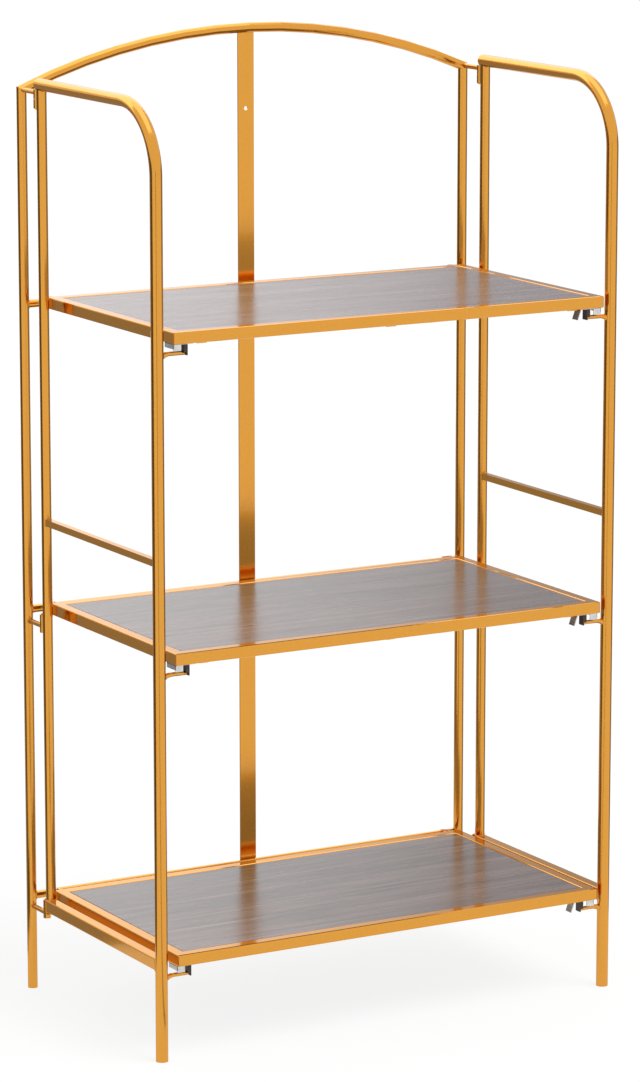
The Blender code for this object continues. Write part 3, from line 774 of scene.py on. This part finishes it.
def make_backdrop():
    """An upright card behind, dimmer to the right and upwards."""
    corners = [(x, BACKDROP_Y, z) for z in BACKDROP_Z for x in BACKDROP_X]
    graph = Graph("backdrop")
    place = graph.node("ShaderNodeTexCoord")
    axes = graph.node("ShaderNodeSeparateXYZ")
    graph.link(place.outputs["Object"], axes.inputs["Vector"])
    start, end = BACKDROP_X
    across = graph.spread(axes.outputs["X"], 0, 1, start, end)
    shade = graph.node("ShaderNodeValToRGB")
    stops = shade.color_ramp.elements
    while len(stops) < len(BACKDROP_SHADES):
        stops.new(1)
    for stop, (x, brightness) in zip(stops, BACKDROP_SHADES):
        stop.position = (x - start) / (end - start)
        grey = brightness / BACKDROP_FULL
        stop.color = (grey, grey, grey, 1)
    graph.link(across, shade.inputs["Fac"])
    glow = graph.node("ShaderNodeEmission")
    graph.link(shade.outputs["Color"], glow.inputs["Color"])
    low, high = BACKDROP_FADE_Z
    dimmed = BACKDROP_FULL * BACKDROP_FADE_SHARE
    fading = graph.spread(axes.outputs["Z"], BACKDROP_FULL, dimmed, low, high)
    graph.link(fading, glow.inputs["Strength"])
    set_up_card("backdrop", corners, [(0, 1, 3, 2)], graph, glow)


def set_up_card(name, corners, faces, graph, glow):
    """Shows a card to reflections alone."""
    mesh = bpy.data.meshes.new(name)
    mesh.from_pydata(corners, [], faces)
    card = bpy.data.objects.new(name, mesh)
    bpy.context.scene.collection.objects.link(card)
    output = graph.tree.nodes["Material Output"]
    graph.link(glow.outputs["Emission"], output.inputs["Surface"])
    give(card, graph.material)
    card.visible_camera = False
    card.visible_diffuse = False
    card.visible_transmission = False
    card.visible_volume_scatter = False
    card.visible_shadow = False


def make_world():
    """White to what looks at it or through it, and a weaker white as light."""
    world = bpy.data.worlds.new("studio")
    bpy.context.scene.world = world
    world.use_nodes = True
    tree = world.node_tree
    tree.nodes.clear()
    path = tree.nodes.new("ShaderNodeLightPath")
    first = tree.nodes.new("ShaderNodeMath")
    first.operation = "MAXIMUM"
    second = tree.nodes.new("ShaderNodeMath")
    second.operation = "MAXIMUM"
    tree.links.new(path.outputs["Is Camera Ray"], first.inputs[0])
    tree.links.new(path.outputs["Is Glossy Ray"], first.inputs[1])
    tree.links.new(first.outputs["Value"], second.inputs[0])
    tree.links.new(path.outputs["Is Transmission Ray"], second.inputs[1])
    fill = tree.nodes.new("ShaderNodeBackground")
    fill.inputs["Strength"].default_value = WORLD_FILL
    white = tree.nodes.new("ShaderNodeBackground")
    for background in (fill, white):
        background.inputs["Color"].default_value = WHITE
    mix = tree.nodes.new("ShaderNodeMixShader")
    tree.links.new(second.outputs["Value"], mix.inputs["Fac"])
    tree.links.new(fill.outputs["Background"], mix.inputs[1])
    tree.links.new(white.outputs["Background"], mix.inputs[2])
    output = tree.nodes.new("ShaderNodeOutputWorld")
    tree.links.new(mix.outputs["Shader"], output.inputs["Surface"])


def make_sun():
    """One wide soft lamp from the upper right front, even over the whole floor."""
    data = bpy.data.lights.new("key", "SUN")
    data.energy = SUN_STRENGTH
    data.angle = SUN_ANGLE
    lamp = bpy.data.objects.new("key", data)
    lamp.rotation_euler = Vector(SUN_AIM).to_track_quat("-Z", "Y").to_euler()
    lamp.visible_glossy = False
    bpy.context.scene.collection.objects.link(lamp)


def make_camera():
    """The photograph's view."""
    data = bpy.data.cameras.new("camera")
    data.sensor_fit = "AUTO"
    data.sensor_width = CAMERA_SENSOR
    data.lens = CAMERA_LENS
    camera = bpy.data.objects.new("camera", data)
    camera.location = CAMERA_PLACE
    camera.rotation_euler = (math.pi / 2 - CAMERA_TILT, 0, -CAMERA_TURN)
    bpy.context.scene.collection.objects.link(camera)
    bpy.context.scene.camera = camera


def make_studio():
    """Floor, light, what the reflections see, and the camera."""
    make_floor()
    make_world()
    make_sun()
    for name, values in CARDS.items():
        make_card(name, *values)
    make_backdrop()
    make_back_lamp()
    make_top_lamp()
    make_camera()
    bpy.context.scene.view_settings.view_transform = "Standard"


def main():
    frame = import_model()
    finishes = {
        "gold_paint": gold_finish(),
        "bright_steel": steel_finish(),
        "dark_plastic": plastic_finish(),
        "shelf_board": board_finish(),
    }
    finish_kept_nodes(frame, finishes)
    tube = tube_tree()
    for word in SIDES:
        make_bent_tube(word, tube, finishes["gold_paint"])
        make_bottom_rail(word, finishes["gold_paint"])
    for level in LEVELS:
        for word in SIDES:
            make_clip(level, word, finishes["bright_steel"])
    make_welds(finishes["gold_paint"])
    make_studio()


main()
